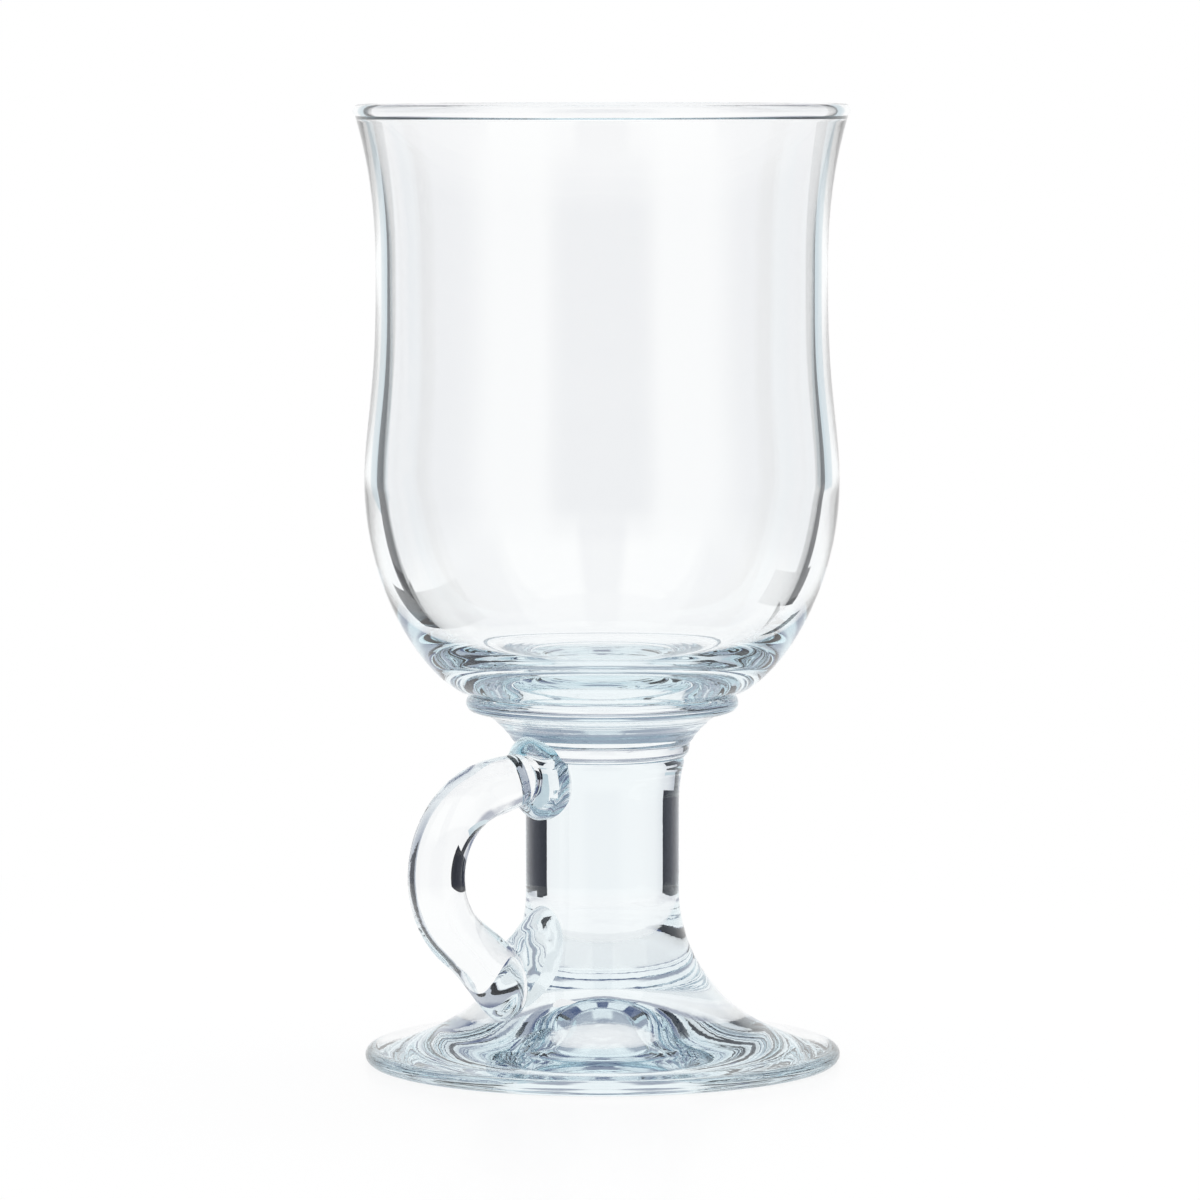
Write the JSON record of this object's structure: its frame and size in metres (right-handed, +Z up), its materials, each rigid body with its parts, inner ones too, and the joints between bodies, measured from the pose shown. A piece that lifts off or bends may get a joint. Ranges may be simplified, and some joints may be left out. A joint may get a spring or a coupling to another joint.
{
  "type": "irish coffee glass mug",
  "caption": "Handled Irish coffee glass: flared blown bowl on a stepped collar, short solid stem with a round-rod handle, and a flared foot hollow underneath.",
  "frame": {"origin": "on the glass's axis, on the plane of the flat ring that it stands on", "axes": "+Z up along the glass's axis; the handle points along +Y, and the glass is mirror-symmetric about the YZ plane"},
  "size_m": [0.0754, 0.0754, 0.146],
  "materials": {
    "bowl_glass": "clear, fire-polished, faint blue-green tint at the edges",
    "collar_glass": "clear, pressed, slightly wavy",
    "stem_glass": "clear, solid",
    "foot_glass": "clear, pressed, with soft chill ripples",
    "handle_glass": "clear drawn rod with faint chill texture near its ends",
    "pad_glass": "clear, hand-pressed and wavy"
  },
  "bodies": {
    "root": {"bowl": "bowl_glass", "collar": "collar_glass", "stem": "stem_glass", "foot": "foot_glass", "handle": "handle_glass", "upper_handle_pad": "pad_glass", "lower_handle_pad": "pad_glass"}
  },
  "joints": []
}
